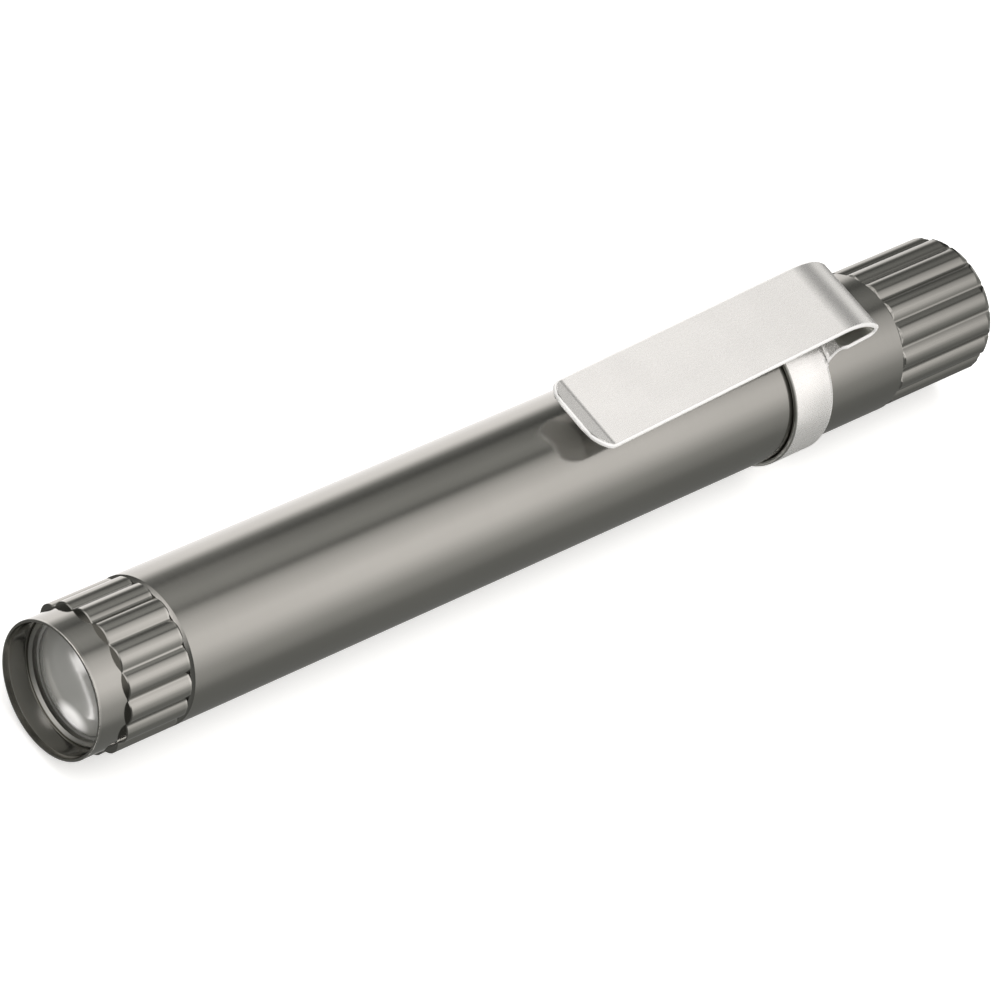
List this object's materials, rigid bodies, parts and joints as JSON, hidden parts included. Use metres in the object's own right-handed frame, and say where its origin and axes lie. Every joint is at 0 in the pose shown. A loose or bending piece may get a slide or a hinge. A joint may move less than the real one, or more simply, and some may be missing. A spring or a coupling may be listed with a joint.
{
  "type": "penlight",
  "caption": "Slim metal pocket torch with a recessed lens, fluted head and tail cap that unscrew, a turning spring pocket clip and a push switch in the tail.",
  "frame": {"origin": "on the torch's axis, at the shoulder where the smooth nose meets the fluted head", "axes": "+X along the axis, the way the light shines; +Z towards the pocket clip; +Y across the clip"},
  "size_m": [0.1192, 0.0156, 0.0193],
  "materials": {
    "anodised_body": "satin gunmetal anodising",
    "bright_ring": "turned, clear anodised",
    "clip_steel": "satin stainless with polished edges",
    "lens_glass": "clear moulded optic",
    "reflector_bright": "metallised",
    "emitter_lens": "clear silicone dome",
    "emitter_phosphor": "phosphor on a pale package",
    "board_white": "white solder mask",
    "board_green": "green solder mask",
    "chip_black": "moulded epoxy",
    "brass": "turned",
    "fibre": "insulating fibre",
    "seal_rubber": "black nitrile",
    "cell_wrap": "painted sleeve",
    "cell_tip": "nickel plated",
    "spring_steel": "plated wire",
    "switch_plastic": "moulded",
    "plunger_plastic": "moulded",
    "button_rubber": "fine matt moulding"
  },
  "bodies": {
    "barrel": {"barrel_tube": "anodised_body", "front_cell": "cell_wrap", "front_cell_terminal": "cell_tip", "rear_cell": "cell_wrap", "rear_cell_terminal": "cell_tip"},
    "head_carrier": {"head_seal": "seal_rubber"},
    "head": {"head_shell": "anodised_body", "lens_ring": "bright_ring", "lens_seal": "seal_rubber", "lens": "lens_glass", "reflector": "reflector_bright", "emitter_dome": "emitter_lens", "emitter": "emitter_phosphor", "emitter_board": "board_white", "heat_sink_pill": "brass", "driver_board": "board_green", "driver_parts": "chip_black", "insulator_ring": "fibre", "front_contact": "brass"},
    "clip": {"clip_band": "clip_steel"},
    "clip_spring_arm": {"clip_arm": "clip_steel"},
    "tail_carrier": {"tail_seal": "seal_rubber"},
    "tail_cap": {"tail_cap_shell": "anodised_body", "tail_spring": "spring_steel", "switch_retainer": "bright_ring", "switch_contact": "brass", "switch_housing": "switch_plastic", "switch_spring": "spring_steel"},
    "button": {"push_button": "button_rubber", "switch_plunger": "plunger_plastic"}
  },
  "joints": [
    {"name": "head_lift", "type": "slide", "parent": "barrel", "child": "head_carrier", "axis": [1, 0, 0], "range_m": [0, 0.003]},
    {"name": "head_turn", "type": "hinge", "parent": "head_carrier", "child": "head", "pos_m": [-0.0071, 0, 0], "axis": [1, 0, 0], "range_deg": [0, 1440]},
    {"name": "tail_lift", "type": "slide", "parent": "barrel", "child": "tail_carrier", "axis": [-1, 0, 0], "range_m": [0, 0.003]},
    {"name": "tail_turn", "type": "hinge", "parent": "tail_carrier", "child": "tail_cap", "pos_m": [-0.1014, 0, 0], "axis": [-1, 0, 0], "range_deg": [0, 1440]},
    {"name": "clip_turn", "type": "hinge", "parent": "barrel", "child": "clip", "pos_m": [-0.08762, 0, 0], "axis": [1, 0, 0], "continuous": true},
    {"name": "clip_flex", "type": "hinge", "parent": "clip", "child": "clip_spring_arm", "pos_m": [-0.09481, 0, 0.00949], "axis": [0, -1, 0], "range_deg": [0, 5], "stiffness_Nm_per_rad": 0.15},
    {"name": "button_press", "type": "slide", "parent": "tail_cap", "child": "button", "axis": [1, 0, 0], "range_m": [0, 0.0014], "stiffness_N_per_m": 600, "springref_m": -0.001, "deforming": ["switch_spring"]}
  ],
  "couplings": [
    {"joint": "head_turn", "follows": "head_lift", "rad_per_m": 8377},
    {"joint": "tail_turn", "follows": "tail_lift", "rad_per_m": 8377}
  ]
}
